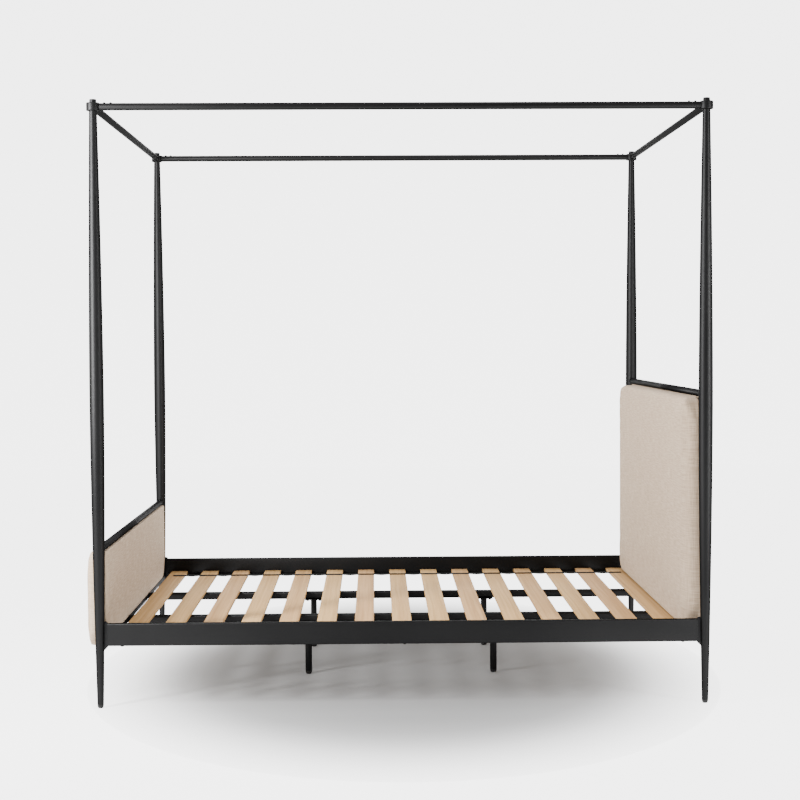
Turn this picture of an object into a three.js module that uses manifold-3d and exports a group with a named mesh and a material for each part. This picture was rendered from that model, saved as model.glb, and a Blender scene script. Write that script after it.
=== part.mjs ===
// Four poster canopy bed: a steel frame of turned posts and tubes, an upholstered headboard and
// footboard, and a slatted base that stands on two centre beams with levelling feet.
// Millimetres, +Z up, +X towards the headboard. The origin is on the floor, under the middle of
// the bed's bounding box.

import * as THREE from 'three';
import { mergeVertices } from 'three/addons/utils/BufferGeometryUtils.js';
import Module from 'manifold-3d';

const wasm = await Module();
wasm.setup();

// ---- Driving dimensions ----

const clearance = 0.3;              // air left between pieces that touch

const lengthBetweenPosts = 2120;    // foot post axis to head post axis
const widthBetweenPosts = 1600;     // near post axis to far post axis
const overallHeight = 2114;         // floor to the top of a post

const postTopDiameter = 27;         // just under the collar
const postNeckDiameter = 24;        // inside the collar and above it
const postWaistDiameter = 50;       // at the fattest place
const postWaistHeight = 1057;
const postFootDiameter = 22.5;
const postWall = 2;
const postUpperTaper = 1.6;         // exponent of the taper above the waist
const postLowerTaper = 1.7;         // exponent of the taper below the waist
const postCrownRounding = 3;

const glideHeight = 12;
const glideTread = 17;              // diameter that meets the floor
const glidePlugLength = 22;

const collarDiameter = 46;
const collarHeight = 28;
const collarRounding = 2.5;
const postAboveRails = 26;          // axes of the four canopy rails to the top of a post
const canopyRailDiameter = 25.4;
const canopyRailWall = 1.6;
const spigotLength = 58;            // how far a collar reaches into each rail
const screwHeadDiameter = 8;
const screwHeadHeight = 2.6;
const screwShankDiameter = 5;
const screwShankLength = 9;
const firstScrewFromCollar = 16;    // collar's round side to the middle of the first screw
const screwPitch = 22;

const boardRailDiameter = 25.4;     // tube over the headboard and over the footboard
const boardRailWall = 1.6;
const headRailHeight = 1086;        // floor to the axis of the tube
const footRailHeight = 554.5;
const boardThickness = 20;
const boardFaceOffset = 18;         // flat face of a board, towards the head from the post axes
const boardFromPost = 5;            // board's edge to the fattest part of a post
const boardCornerRadius = 90;
const beamAboveBoard = 3.7;         // bottom edge of a board to the top of the centre beams
const headCushionThickness = 66;
const footCushionThickness = 54;
const cushionCornerRadius = 100;
const cushionEdgeRounding = 26;
const headCushionOverSlats = 1;     // top of the slats to the bottom of the head cushion
const footCushionDrop = 30;         // bottom edge of the footboard to the bottom of its cushion

const sideRailTop = 297;
const sideRailDepth = 78;
const sideRailThickness = 25;
const sideRailWall = 2.5;
const sideRailFromPost = 11.5;      // post's surface to the end of a side rail, at the rail's top
const bracketThickness = 6;
const tongueLength = 53.8;          // how far a bracket's tongue reaches towards and into the rail
const bracketAboveRail = 7;
const bracketBelowRail = 17;
const bracketChamfer = 13;

const slatCount = 15;
const slatWidth = 71;
const slatThickness = 12;
const slatEndGap = 8;               // slat end to the side rail's inner face
const firstSlatGap = 30.5;          // face of the footboard to the edge of the first slat
const lastSlatUnderCushion = 21;    // how far the last slat runs under the head cushion
const ledgeReach = 30;
const ledgeThickness = 3;
const ledgeHeight = 11.7;           // bottom of a side rail to the top of its ledge

const endRailDepth = 20;
const endRailWall = 2;
const beamWidth = 30;
const beamDepth = 30;
const beamWall = 2;
const beamCornerRadius = 8;
const beamSpacing = 530;            // between the two centre beams
const legSpacing = 710;             // between the two legs under one beam
const legDiameter = 25.4;
const legWall = 2;
const legPlateLength = 72;
const legPlateWidth = 34;
const legPlateThickness = 4;
const legPlugDepth = 12;
const levellerDiscHeight = 11;
const levellerDiscDiameter = 25;
const levellerStudDiameter = 8;
const levellerStudLength = 40;

const roundSides = 20;              // faces round a post, a collar or a tube
const footSides = 16;               // faces round a glide or a levelling foot
const smallSides = 10;              // faces round a screw or a stud

// ---- Places worked out from them ----

const postX = lengthBetweenPosts / 2;
const postY = widthBetweenPosts / 2;
const footOverhang = boardThickness - boardFaceOffset + clearance + footCushionThickness;
const headOverhang = Math.max(collarDiameter, postWaistDiameter) / 2;
const middleX = (footOverhang - headOverhang) / 2;
const canopyRailHeight = overallHeight - postAboveRails;
const sideRailBottom = sideRailTop - sideRailDepth;
const ledgeTop = sideRailBottom + ledgeHeight;
const beamTop = ledgeTop;
const slatTop = ledgeTop + clearance + slatThickness;
const beamBottom = beamTop - beamDepth;
const boardBottomHeight = beamTop - beamAboveBoard;
const bracketTop = sideRailTop + bracketAboveRail;
const bracketBottom = sideRailBottom - bracketBelowRail;
const legTop = beamBottom - clearance;
const ends = { foot: -1, head: 1 };
const sides = { near: -1, far: 1 };

// ---- Materials ----

function finish(color, roughness, metalness) {
  return () => new THREE.MeshStandardMaterial({ color, roughness, metalness });
}
const blackSteel = finish(0x2b2b2d, 0.45, 0.6);
const blackScrew = finish(0x202022, 0.35, 0.8);
const blackPlastic = finish(0x161617, 0.6, 0);
const slatWood = finish(0xcfb089, 0.6, 0);
const oatLinen = finish(0xc4b8a8, 0.95, 0);

const bed = new THREE.Group();
bed.position.x = middleX;

function addPiece(name, geometry, makeMaterial, x = 0, y = 0, z = 0) {
  const mesh = new THREE.Mesh(geometry, makeMaterial());
  mesh.name = name;
  mesh.position.set(x, y, z);
  bed.add(mesh);
  return mesh;
}

// ---- Solids ----

function toSolid(geometry) {
  const bare = geometry.index ? geometry.toNonIndexed() : geometry.clone();
  bare.deleteAttribute('normal');
  bare.deleteAttribute('uv');
  const merged = mergeVertices(bare, 1e-4);
  const vertProperties = new Float32Array(merged.attributes.position.array);
  const triVerts = new Uint32Array(merged.index.array);
  return new wasm.Manifold(new wasm.Mesh({ numProp: 3, vertProperties, triVerts }));
}

function toGeometry(solid) {
  const mesh = solid.getMesh();
  const geometry = new THREE.BufferGeometry();
  geometry.setAttribute('position', new THREE.BufferAttribute(new Float32Array(mesh.vertProperties), 3));
  geometry.setIndex(new THREE.BufferAttribute(new Uint32Array(mesh.triVerts), 1));
  return geometry;
}

// Joins some geometries, then cuts others away.
function build(joined, cut = []) {
  let solid = toSolid(joined[0]);
  for (const geometry of joined.slice(1)) solid = solid.add(toSolid(geometry));
  for (const geometry of cut) solid = solid.subtract(toSolid(geometry));
  return toGeometry(solid);
}

// A round piece turned about Z, from [radius, height] pairs.
function turned(outline, slices = roundSides) {
  const points = outline.map(([radius, height]) => new THREE.Vector2(radius, height));
  return new THREE.LatheGeometry(points, slices).rotateX(Math.PI / 2);
}

function circle(radius, slices) {
  const shape = new THREE.Shape();
  for (let i = 0; i < slices; i += 1) {
    const angle = (i / slices) * 2 * Math.PI;
    const [x, y] = [radius * Math.cos(angle), radius * Math.sin(angle)];
    if (i === 0) shape.moveTo(x, y);
    else shape.lineTo(x, y);
  }
  shape.closePath();
  return shape;
}

function roundedRectangle(width, height, lowRadius, highRadius = lowRadius) {
  const [x, y] = [width / 2, height / 2];
  const shape = new THREE.Shape();
  shape.moveTo(-x + lowRadius, -y);
  shape.lineTo(x - lowRadius, -y);
  shape.absarc(x - lowRadius, -y + lowRadius, lowRadius, -Math.PI / 2, 0);
  shape.lineTo(x, y - highRadius);
  shape.absarc(x - highRadius, y - highRadius, highRadius, 0, Math.PI / 2);
  shape.lineTo(-x + highRadius, y);
  shape.absarc(-x + highRadius, y - highRadius, highRadius, Math.PI / 2, Math.PI);
  shape.lineTo(-x, -y + lowRadius);
  shape.absarc(-x + lowRadius, -y + lowRadius, lowRadius, Math.PI, 1.5 * Math.PI);
  return shape;
}

function polygon(points) {
  const shape = new THREE.Shape();
  points.forEach(([x, y], i) => (i === 0 ? shape.moveTo(x, y) : shape.lineTo(x, y)));
  shape.closePath();
  return shape;
}

// Extrusions centred on the origin. A shape's own x and y lie on X and Y in one extruded along Z,
// on Y and Z in one along X, and on X and Z in one along Y.
function extruded(shape, length, curveSegments = 4) {
  const geometry = new THREE.ExtrudeGeometry(shape, {
    depth: length, bevelEnabled: false, steps: 1, curveSegments,
  });
  return geometry.translate(0, 0, -length / 2);
}

function alongX(shape, length, curveSegments) {
  return extruded(shape, length, curveSegments).rotateX(Math.PI / 2).rotateZ(Math.PI / 2);
}

function alongY(shape, length, curveSegments) {
  return extruded(shape, length, curveSegments).rotateX(Math.PI / 2);
}

function tubeOutline(outer, inner) {
  outer.holes.push(inner);
  return outer;
}

function roundTubeOutline(diameter, wall) {
  return tubeOutline(circle(diameter / 2, roundSides), circle(diameter / 2 - wall, roundSides));
}

// ---- Posts, with their welded rail brackets, and the glides in their feet ----

function postRadius(height) {
  const [end, span, taper] = height > postWaistHeight
    ? [postTopDiameter, canopyRailHeight - collarHeight / 2 - postWaistHeight, postUpperTaper]
    : [postFootDiameter, postWaistHeight - glideHeight, postLowerTaper];
  const share = Math.min(Math.abs(height - postWaistHeight) / span, 1);
  return (postWaistDiameter - (postWaistDiameter - end) * share ** taper) / 2;
}

const sideRailEndGap = postRadius(sideRailTop) + sideRailFromPost;

function bracketPlate() {
  const root = postRadius(bracketBottom) - postWall / 2;
  const shoulder = sideRailEndGap - clearance;
  const tongueTop = sideRailTop - sideRailWall - clearance;
  const tongueBottom = sideRailBottom + sideRailWall + clearance;
  const outline = polygon([
    [root, bracketBottom], [shoulder - bracketChamfer, bracketBottom],
    [shoulder, bracketBottom + bracketChamfer], [shoulder, tongueBottom],
    [shoulder + tongueLength, tongueBottom], [shoulder + tongueLength, tongueTop], [shoulder, tongueTop],
    [shoulder, bracketTop - bracketChamfer / 3], [shoulder - bracketChamfer / 3, bracketTop],
    [root, bracketTop],
  ]);
  return alongY(outline, bracketThickness);
}

function post(endSign) {
  const outerSteps = 13;
  const innerSteps = 4;
  const chordAllowance = 0.6;       // keeps the straight inner steps inside the curved wall
  const low = glideHeight + clearance;
  const neckTop = overallHeight - postCrownRounding;
  const outline = [];
  for (let i = 0; i <= outerSteps; i += 1) {
    const height = low + ((canopyRailHeight - collarHeight / 2 - low) * i) / outerSteps;
    outline.push([postRadius(height), height]);
  }
  const neck = postNeckDiameter / 2;
  outline.push([neck, canopyRailHeight - collarHeight / 2], [neck, neckTop]);
  outline.push([neck - postCrownRounding, overallHeight], [0, overallHeight]);
  outline.push([0, overallHeight - 2 * postWall]);
  outline.push([neck - postWall, overallHeight - 2 * postWall]);
  const shoulder = canopyRailHeight - collarHeight / 2 - 2 * postWall;
  outline.push([neck - postWall, shoulder]);
  for (let i = innerSteps - 1; i >= 0; i -= 1) {
    const height = low + ((shoulder - low) * i) / innerSteps;
    outline.push([postRadius(height) - postWall - (i > 0 ? chordAllowance : 0), height]);
  }
  outline.push(outline[0]);
  const plate = bracketPlate();
  if (endSign > 0) plate.rotateZ(Math.PI);
  return build([turned(outline), plate]);
}

function postGlide() {
  const plug = postFootDiameter / 2 - postWall - clearance;
  const rim = postFootDiameter / 2;
  const top = glideHeight + glidePlugLength;
  return turned([
    [0, 0], [glideTread / 2, 0], [rim, glideHeight * 0.75], [rim, glideHeight],
    [plug, glideHeight], [plug, top - 2], [plug - 2, top], [0, top],
  ], footSides);
}

for (const [end, endSign] of Object.entries(ends)) {
  for (const [side, sideSign] of Object.entries(sides)) {
    addPiece(`post_${end}_${side}`, post(endSign), blackSteel, endSign * postX, sideSign * postY);
    addPiece(`post_glide_${end}_${side}`, postGlide(), blackPlastic, endSign * postX, sideSign * postY);
  }
}

// ---- Canopy: a collar with two spigots on each post, four rails, and the screws that lock them ----

const spigotRadius = canopyRailDiameter / 2 - canopyRailWall - clearance;
const railFromPost = collarDiameter / 2 + clearance;
const railSurface = canopyRailHeight + canopyRailDiameter / 2;
const screwHole = screwShankDiameter / 2 + clearance;
const firstScrewFromPost = collarDiameter / 2 + firstScrewFromCollar;
const screwPlaces = [firstScrewFromPost, firstScrewFromPost + screwPitch];

function screwBore(fromPost) {
  const bore = extruded(circle(screwHole, smallSides), 2 * screwShankLength);
  return bore.translate(fromPost, 0, canopyRailDiameter / 2);
}

// Modelled at a corner where the rails run towards +X and +Y, with the rail axes at height 0.
function collar(endSign, sideSign) {
  const [outer, bore, half] = [collarDiameter / 2, postNeckDiameter / 2 + clearance, collarHeight / 2];
  const edge = collarRounding;
  const ring = turned([
    [bore, -half], [outer - edge, -half], [outer, -half + edge],
    [outer, half - edge], [outer - edge, half], [bore, half], [bore, -half],
  ]);
  const root = (bore + outer) / 2;
  const length = collarDiameter / 2 + spigotLength - root;
  const spigot = circle(spigotRadius, roundSides);
  const longSpigot = alongX(spigot, length).translate(-endSign * (root + length / 2), 0, 0);
  const crossSpigot = alongY(spigot, length).translate(0, -sideSign * (root + length / 2), 0);
  const bores = screwPlaces.map((place) => screwBore(-endSign * place));
  return build([ring, longSpigot, crossSpigot], bores);
}

function canopySideRail() {
  const length = lengthBetweenPosts - 2 * railFromPost;
  const tube = alongX(roundTubeOutline(canopyRailDiameter, canopyRailWall), length);
  const bores = [];
  for (const endSign of Object.values(ends)) {
    for (const place of screwPlaces) bores.push(screwBore(endSign * (postX - place)));
  }
  return build([tube], bores);
}

function canopyScrew() {
  const [head, shank] = [screwHeadDiameter / 2, screwShankDiameter / 2];
  const seat = clearance;
  return turned([
    [0, -screwShankLength], [shank, -screwShankLength], [shank, seat], [head, seat],
    [head, seat + screwHeadHeight * 0.45], [head * 0.7, seat + screwHeadHeight * 0.85],
    [0, seat + screwHeadHeight],
  ], smallSides);
}

for (const [end, endSign] of Object.entries(ends)) {
  for (const [side, sideSign] of Object.entries(sides)) {
    const [x, y] = [endSign * postX, sideSign * postY];
    addPiece(`canopy_collar_${end}_${side}`, collar(endSign, sideSign), blackSteel, x, y, canopyRailHeight);
    screwPlaces.forEach((place, i) => {
      const name = `canopy_screw_${end}_${side}_${i + 1}`;
      addPiece(name, canopyScrew(), blackScrew, x - endSign * place, y, railSurface);
    });
  }
}
for (const [side, sideSign] of Object.entries(sides)) {
  addPiece(`canopy_side_rail_${side}`, canopySideRail(), blackSteel, 0, sideSign * postY, canopyRailHeight);
}
for (const [end, endSign] of Object.entries(ends)) {
  const length = widthBetweenPosts - 2 * railFromPost;
  const tube = alongY(roundTubeOutline(canopyRailDiameter, canopyRailWall), length);
  addPiece(`canopy_end_rail_${end}`, tube, blackSteel, endSign * postX, 0, canopyRailHeight);
}

// ---- Headboard and footboard: a tube on top, an upholstered board, and a cushion on its foot side ----

// A tube between two posts, its ends coped to their round sides.
function boardRail(height) {
  const tube = alongY(roundTubeOutline(boardRailDiameter, boardRailWall), widthBetweenPosts);
  const posts = Object.values(sides).map((sign) => {
    const radius = postRadius(height) + clearance;
    return extruded(circle(radius, roundSides), 4 * boardRailDiameter).translate(0, sign * postY, 0);
  });
  return build([tube], posts);
}

const boardWidth = widthBetweenPosts - postWaistDiameter - 2 * boardFromPost;
const boardFace = boardFaceOffset;
const boardBack = boardFaceOffset - boardThickness;

function boardPanel(height) {
  const squareCorner = 12;
  const outline = roundedRectangle(boardWidth, height, boardCornerRadius, squareCorner);
  return alongX(outline, boardThickness, 6);
}

// A pad with rounded edges on the side that faces the foot, flat where it lies on its board.
function boardCushion(height, thickness) {
  const rounding = Math.min(cushionEdgeRounding, thickness / 2);
  const radius = cushionCornerRadius - rounding;
  const core = roundedRectangle(boardWidth - 2 * rounding, height - 2 * rounding, radius);
  const geometry = new THREE.ExtrudeGeometry(core, {
    depth: 2 * (thickness - rounding), steps: 1, curveSegments: 5,
    bevelThickness: rounding, bevelSize: rounding, bevelSegments: 3,
  });
  geometry.translate(0, 0, -(thickness - rounding)).rotateX(Math.PI / 2).rotateZ(Math.PI / 2);
  const half = new THREE.BoxGeometry(2 * thickness, 2 * boardWidth, 2 * height).translate(thickness, 0, 0);
  return build([geometry], [half]);
}

function addBoard(end, railHeight, cushionThickness, cushionBottom) {
  const x = ends[end] * postX;
  const underRail = railHeight - boardRailDiameter / 2 - clearance;
  const height = underRail - boardBottomHeight;
  addPiece(`${end}board_rail`, boardRail(railHeight), blackSteel, x, 0, railHeight);
  addPiece(`${end}board_panel`, boardPanel(height), oatLinen,
    x + (boardFace + boardBack) / 2, 0, boardBottomHeight + height / 2);
  const padHeight = underRail - cushionBottom;
  addPiece(`${end}board_cushion`, boardCushion(padHeight, cushionThickness), oatLinen,
    x + boardBack - clearance, 0, cushionBottom + padHeight / 2);
}

addBoard('head', headRailHeight, headCushionThickness, slatTop + headCushionOverSlats);
addBoard('foot', footRailHeight, footCushionThickness, boardBottomHeight - footCushionDrop);

// ---- Side rails with slat ledges, and the end rails under the two boards ----

function sideRail(sideSign) {
  const length = lengthBetweenPosts - 2 * sideRailEndGap;
  const outer = polygonBox(sideRailThickness, sideRailDepth);
  const inner = polygonBox(sideRailThickness - 2 * sideRailWall, sideRailDepth - 2 * sideRailWall);
  const tube = alongX(tubeOutline(outer, inner), length);
  const root = sideRailThickness / 2 - sideRailWall / 2;
  const ledgeWidth = ledgeReach + sideRailWall / 2;
  const ledgeMiddle = ledgeTop - ledgeThickness / 2 - (sideRailTop - sideRailDepth / 2);
  const ledge = new THREE.BoxGeometry(length, ledgeWidth, ledgeThickness);
  ledge.translate(0, -sideSign * (root + ledgeWidth / 2), ledgeMiddle);
  return build([tube, ledge]);
}

function polygonBox(width, height) {
  const [x, y] = [width / 2, height / 2];
  return polygon([[-x, -y], [x, -y], [x, y], [-x, y]]);
}

for (const [side, sideSign] of Object.entries(sides)) {
  const z = sideRailTop - sideRailDepth / 2;
  addPiece(`side_rail_${side}`, sideRail(sideSign), blackSteel, 0, sideSign * postY, z);
}

const endRailTop = boardBottomHeight - clearance;

function endRail() {
  const gap = postRadius(endRailTop) + clearance;
  const length = widthBetweenPosts - 2 * gap;
  const outer = polygonBox(boardThickness, endRailDepth);
  const inner = polygonBox(boardThickness - 2 * endRailWall, endRailDepth - 2 * endRailWall);
  return alongY(tubeOutline(outer, inner), length);
}

for (const [end, endSign] of Object.entries(ends)) {
  addPiece(`end_rail_${end}`, endRail(), blackSteel,
    endSign * postX + (boardFace + boardBack) / 2, 0, endRailTop - endRailDepth / 2);
}

// ---- Slats ----

const slatLength = widthBetweenPosts - sideRailThickness - 2 * slatEndGap;
const headCushionFace = postX + boardBack - clearance - headCushionThickness;
const firstSlatX = -postX + boardFace + firstSlatGap + slatWidth / 2;
const lastSlatX = headCushionFace + lastSlatUnderCushion - slatWidth / 2;
const slatPitch = (lastSlatX - firstSlatX) / (slatCount - 1);

for (let i = 0; i < slatCount; i += 1) {
  const number = String(i + 1).padStart(2, '0');
  const slat = new THREE.BoxGeometry(slatWidth, slatLength, slatThickness);
  addPiece(`slat_${number}`, slat, slatWood, firstSlatX + i * slatPitch, 0, slatTop - slatThickness / 2);
}

// ---- Centre beams, their legs and the levelling feet ----

const beamFootEnd = -postX + boardFace + clearance;
const beamHeadEnd = postX + boardBack - clearance;

function centreBeam() {
  const outer = roundedRectangle(beamWidth, beamDepth, beamCornerRadius);
  const inner = roundedRectangle(
    beamWidth - 2 * beamWall, beamDepth - 2 * beamWall, beamCornerRadius - beamWall);
  return alongX(tubeOutline(outer, inner), beamHeadEnd - beamFootEnd, 3);
}

// A tube with a plate on top that lies against the beam and a threaded plug in its foot.
function centreLeg() {
  const [outer, inner] = [legDiameter / 2, legDiameter / 2 - legWall];
  const foot = levellerDiscHeight + clearance;
  const stud = levellerStudDiameter / 2 + clearance;
  const underPlate = legTop - legPlateThickness;
  const tube = turned([
    [stud, foot], [outer, foot], [outer, legTop - legPlateThickness / 2],
    [inner, legTop - legPlateThickness / 2], [inner, foot + legPlugDepth],
    [stud, foot + legPlugDepth], [stud, foot],
  ]);
  const outline = roundedRectangle(legPlateLength, legPlateWidth, 5);
  const plate = extruded(outline, legPlateThickness, 3).translate(0, 0, underPlate + legPlateThickness / 2);
  return build([tube, plate]);
}

function leveller() {
  const [disc, stud] = [levellerDiscDiameter / 2, levellerStudDiameter / 2];
  const top = levellerDiscHeight + levellerStudLength;
  return turned([
    [0, 0], [disc * 0.55, 0], [disc * 0.85, levellerDiscHeight * 0.2], [disc, levellerDiscHeight * 0.6],
    [disc, levellerDiscHeight], [stud, levellerDiscHeight], [stud, top - 1], [stud - 1, top], [0, top],
  ], footSides);
}

for (const [side, sideSign] of Object.entries(sides)) {
  const y = (sideSign * beamSpacing) / 2;
  const beamMiddle = (beamFootEnd + beamHeadEnd) / 2;
  addPiece(`centre_beam_${side}`, centreBeam(), blackSteel, beamMiddle, y, beamTop - beamDepth / 2);
  for (const [end, endSign] of Object.entries(ends)) {
    const x = (endSign * legSpacing) / 2;
    addPiece(`centre_leg_${end}_${side}`, centreLeg(), blackSteel, x, y);
    addPiece(`leveller_${end}_${side}`, leveller(), blackPlastic, x, y);
  }
}

export default bed;
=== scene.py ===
import math
import random

import bmesh
import bpy
from mathutils import Matrix, Vector


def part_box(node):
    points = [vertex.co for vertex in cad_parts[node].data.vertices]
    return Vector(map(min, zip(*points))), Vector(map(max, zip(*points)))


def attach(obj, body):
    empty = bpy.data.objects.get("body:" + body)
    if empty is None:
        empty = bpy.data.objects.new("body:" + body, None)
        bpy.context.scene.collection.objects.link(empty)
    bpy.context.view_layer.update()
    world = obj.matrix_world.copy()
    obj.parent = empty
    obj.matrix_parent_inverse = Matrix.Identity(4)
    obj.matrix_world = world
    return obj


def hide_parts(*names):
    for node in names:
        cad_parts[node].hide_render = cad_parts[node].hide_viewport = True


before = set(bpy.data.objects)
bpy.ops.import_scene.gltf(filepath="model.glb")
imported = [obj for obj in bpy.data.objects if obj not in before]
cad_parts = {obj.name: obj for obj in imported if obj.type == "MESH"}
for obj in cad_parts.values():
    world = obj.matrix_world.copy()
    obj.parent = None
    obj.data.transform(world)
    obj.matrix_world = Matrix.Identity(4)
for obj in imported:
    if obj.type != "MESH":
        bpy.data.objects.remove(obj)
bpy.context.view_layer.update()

# ---- Camera ------------------------------------------------------------------------------
# A long lens a little below chest height, in front of the bed's long side and slightly
# towards its foot, looking almost level.

camera_data = bpy.data.cameras.new("camera")
camera_data.lens = 70.9
camera_data.sensor_width = 36
camera = bpy.data.objects.new("camera", camera_data)
camera.location = (-0.0781, -6.278, 1.2965)
camera.rotation_euler = [math.radians(angle) for angle in (87.647, 0.305, -0.914)]
bpy.context.collection.objects.link(camera)
bpy.context.scene.camera = camera

# ---- Studio ------------------------------------------------------------------------------
# A white floor that glows beside and behind the bed, with a painted shadow under the bed in its glow,
# a bright backdrop, dimmer surroundings, three large soft lamps and a strip lamp in front of each near post.


def stage_white(name, white, glow):
    material = bpy.data.materials.new(name)
    material.use_nodes = True
    shader = material.node_tree.nodes["Principled BSDF"]
    shader.inputs["Base Color"].default_value = (white, white, white, 1)
    shader.inputs["Roughness"].default_value = 0.8
    shader.inputs["Specular IOR Level"].default_value = 0
    shader.inputs["Emission Strength"].default_value = glow
    shader.inputs["Emission Color"].default_value = (1, 1, 1, 1)
    return material


def glow_with_painted_bed_shadow(material):
    """Paints the bed's shadow into the floor's glow, dark in an oval under the bed, and darkens the glow in
    front.
    """
    half_length, half_width, in_front = 1.2, 1.6, (-3.4, -2.1)
    tree = material.node_tree
    point = tree.nodes.new("ShaderNodeTexCoord")
    oval = tree.nodes.new("ShaderNodeMapping")
    oval.inputs["Location"].default_value = (-0.02, 0.10, 0)
    oval.inputs["Scale"].default_value = (1 / half_length, 1 / half_width, 0)
    distance = tree.nodes.new("ShaderNodeVectorMath")
    distance.operation = "LENGTH"
    # Painted shadow: the glow is almost nothing in the middle of the oval and full at its rim.
    ramp = tree.nodes.new("ShaderNodeValToRGB")
    ramp.color_ramp.interpolation = "B_SPLINE"
    for place, grey in ((0.38, 0.010), (0.64, 0.03), (0.80, 0.28), (1.0, 1.0)):
        element = ramp.color_ramp.elements.new(place)
        element.color = (grey, grey, grey, 1)
    ramp.color_ramp.elements[0].color = (0.012, 0.012, 0.012, 1)
    tree.links.new(point.outputs["Object"], oval.inputs["Vector"])
    tree.links.new(oval.outputs["Vector"], distance.inputs[0])
    tree.links.new(distance.outputs["Value"], ramp.inputs["Fac"])
    across = tree.nodes.new("ShaderNodeSeparateXYZ")
    tree.links.new(point.outputs["Object"], across.inputs[0])
    fade = tree.nodes.new("ShaderNodeMapRange")
    fade.inputs["From Min"].default_value, fade.inputs["From Max"].default_value = in_front
    fade.inputs["To Min"].default_value = 0.16
    tree.links.new(across.outputs["Y"], fade.inputs["Value"])
    both = tree.nodes.new("ShaderNodeMix")
    both.data_type = "RGBA"
    both.blend_type = "MULTIPLY"
    both.inputs[0].default_value = 1
    tree.links.new(ramp.outputs["Color"], both.inputs[6])
    tree.links.new(fade.outputs["Result"], both.inputs[7])
    shader = tree.nodes["Principled BSDF"]
    tree.links.new(both.outputs[2], shader.inputs["Emission Color"])


bpy.ops.object.select_all(action="DESELECT")
bpy.ops.mesh.primitive_plane_add(size=1)
floor = bpy.context.object
floor.name = "floor"
floor.scale = (40, 29.3, 1)
floor.location = (0, -5.4, 0)
bpy.ops.object.transform_apply(location=True, scale=True)
floor.data.materials.append(stage_white("floor_white", 0.2, 4.2))
# The floor's glow carries a painted shadow under the bed.
glow_with_painted_bed_shadow(floor.data.materials[0])

bpy.ops.object.select_all(action="DESELECT")
bpy.ops.mesh.primitive_plane_add(size=1)
backdrop = bpy.context.object
backdrop.name = "backdrop"
backdrop.scale = (40, 16, 1)
backdrop.rotation_euler = (math.pi / 2, 0, 0)
backdrop.location = (0, 9.2, 7.9)
bpy.ops.object.transform_apply(location=True, rotation=True, scale=True)
backdrop.data.materials.append(stage_white("backdrop_white", 0.2, 4.2))

world = bpy.data.worlds.new("surroundings")
bpy.context.scene.world = world
world.use_nodes = True
background = world.node_tree.nodes["Background"]
background.inputs["Color"].default_value = (1, 1, 1, 1)
background.inputs["Strength"].default_value = 0.34


def soft_lamp(name, size, power, place, target):
    data = bpy.data.lights.new(name, "AREA")
    data.shape = "RECTANGLE"
    data.size, data.size_y = size
    data.energy = power
    lamp = bpy.data.objects.new(name, data)
    lamp.location = place
    lamp.rotation_euler = (Vector(target) - Vector(place)).to_track_quat("-Z", "Y").to_euler()
    bpy.context.collection.objects.link(lamp)


soft_lamp("overhead_lamp", (4, 3), 150, (0, -0.6, 4.6), (0, 0, 0))
soft_lamp("foot_end_lamp", (0.9, 2.0), 350, (-4.1, -3.6, 2.7), (-1.0, -0.7, 1.6))
soft_lamp("head_end_lamp", (1.0, 2.2), 150, (4.1, -3.4, 2.0), (1.0, -0.7, 1.2))
soft_lamp("foot_strip_lamp", (0.14, 1.5), 190, (-1.96, -1.63, 1.75), (-1.05, -0.8, 1.55))
soft_lamp("head_strip_lamp", (0.14, 1.5), 34, (1.98, -1.65, 1.25), (1.07, -0.8, 1.2))

# ---- Posts -------------------------------------------------------------------------------
# Each post is a steel tube spun to a long double taper, fattest at mid height, with a slim neck
# on top for its collar. A plate bracket for the side rail is welded on. Satin black coating.


class Wire:
    """A socket in a material. Arithmetic on it adds Math nodes."""

    def __init__(self, tree, socket):
        self.tree = tree
        self.socket = socket

    def math(self, operation, *values):
        node = self.tree.nodes.new("ShaderNodeMath")
        node.operation = operation
        for slot, value in zip(node.inputs, values):
            if isinstance(value, Wire):
                self.tree.links.new(value.socket, slot)
            else:
                slot.default_value = value
        return Wire(self.tree, node.outputs[0])

    def __add__(self, other):
        return self.math("ADD", self, other)

    def __radd__(self, other):
        return self.math("ADD", other, self)

    def __sub__(self, other):
        return self.math("SUBTRACT", self, other)

    def __rsub__(self, other):
        return self.math("SUBTRACT", other, self)

    def __mul__(self, other):
        return self.math("MULTIPLY", self, other)

    def __rmul__(self, other):
        return self.math("MULTIPLY", other, self)

    def __truediv__(self, other):
        return self.math("DIVIDE", self, other)

    def __pow__(self, other):
        return self.math("POWER", self, other)

    def __abs__(self):
        return self.math("ABSOLUTE", self)

    def sine(self):
        return self.math("SINE", self)

    def __gt__(self, other):
        return self.math("GREATER_THAN", self, other)


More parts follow.
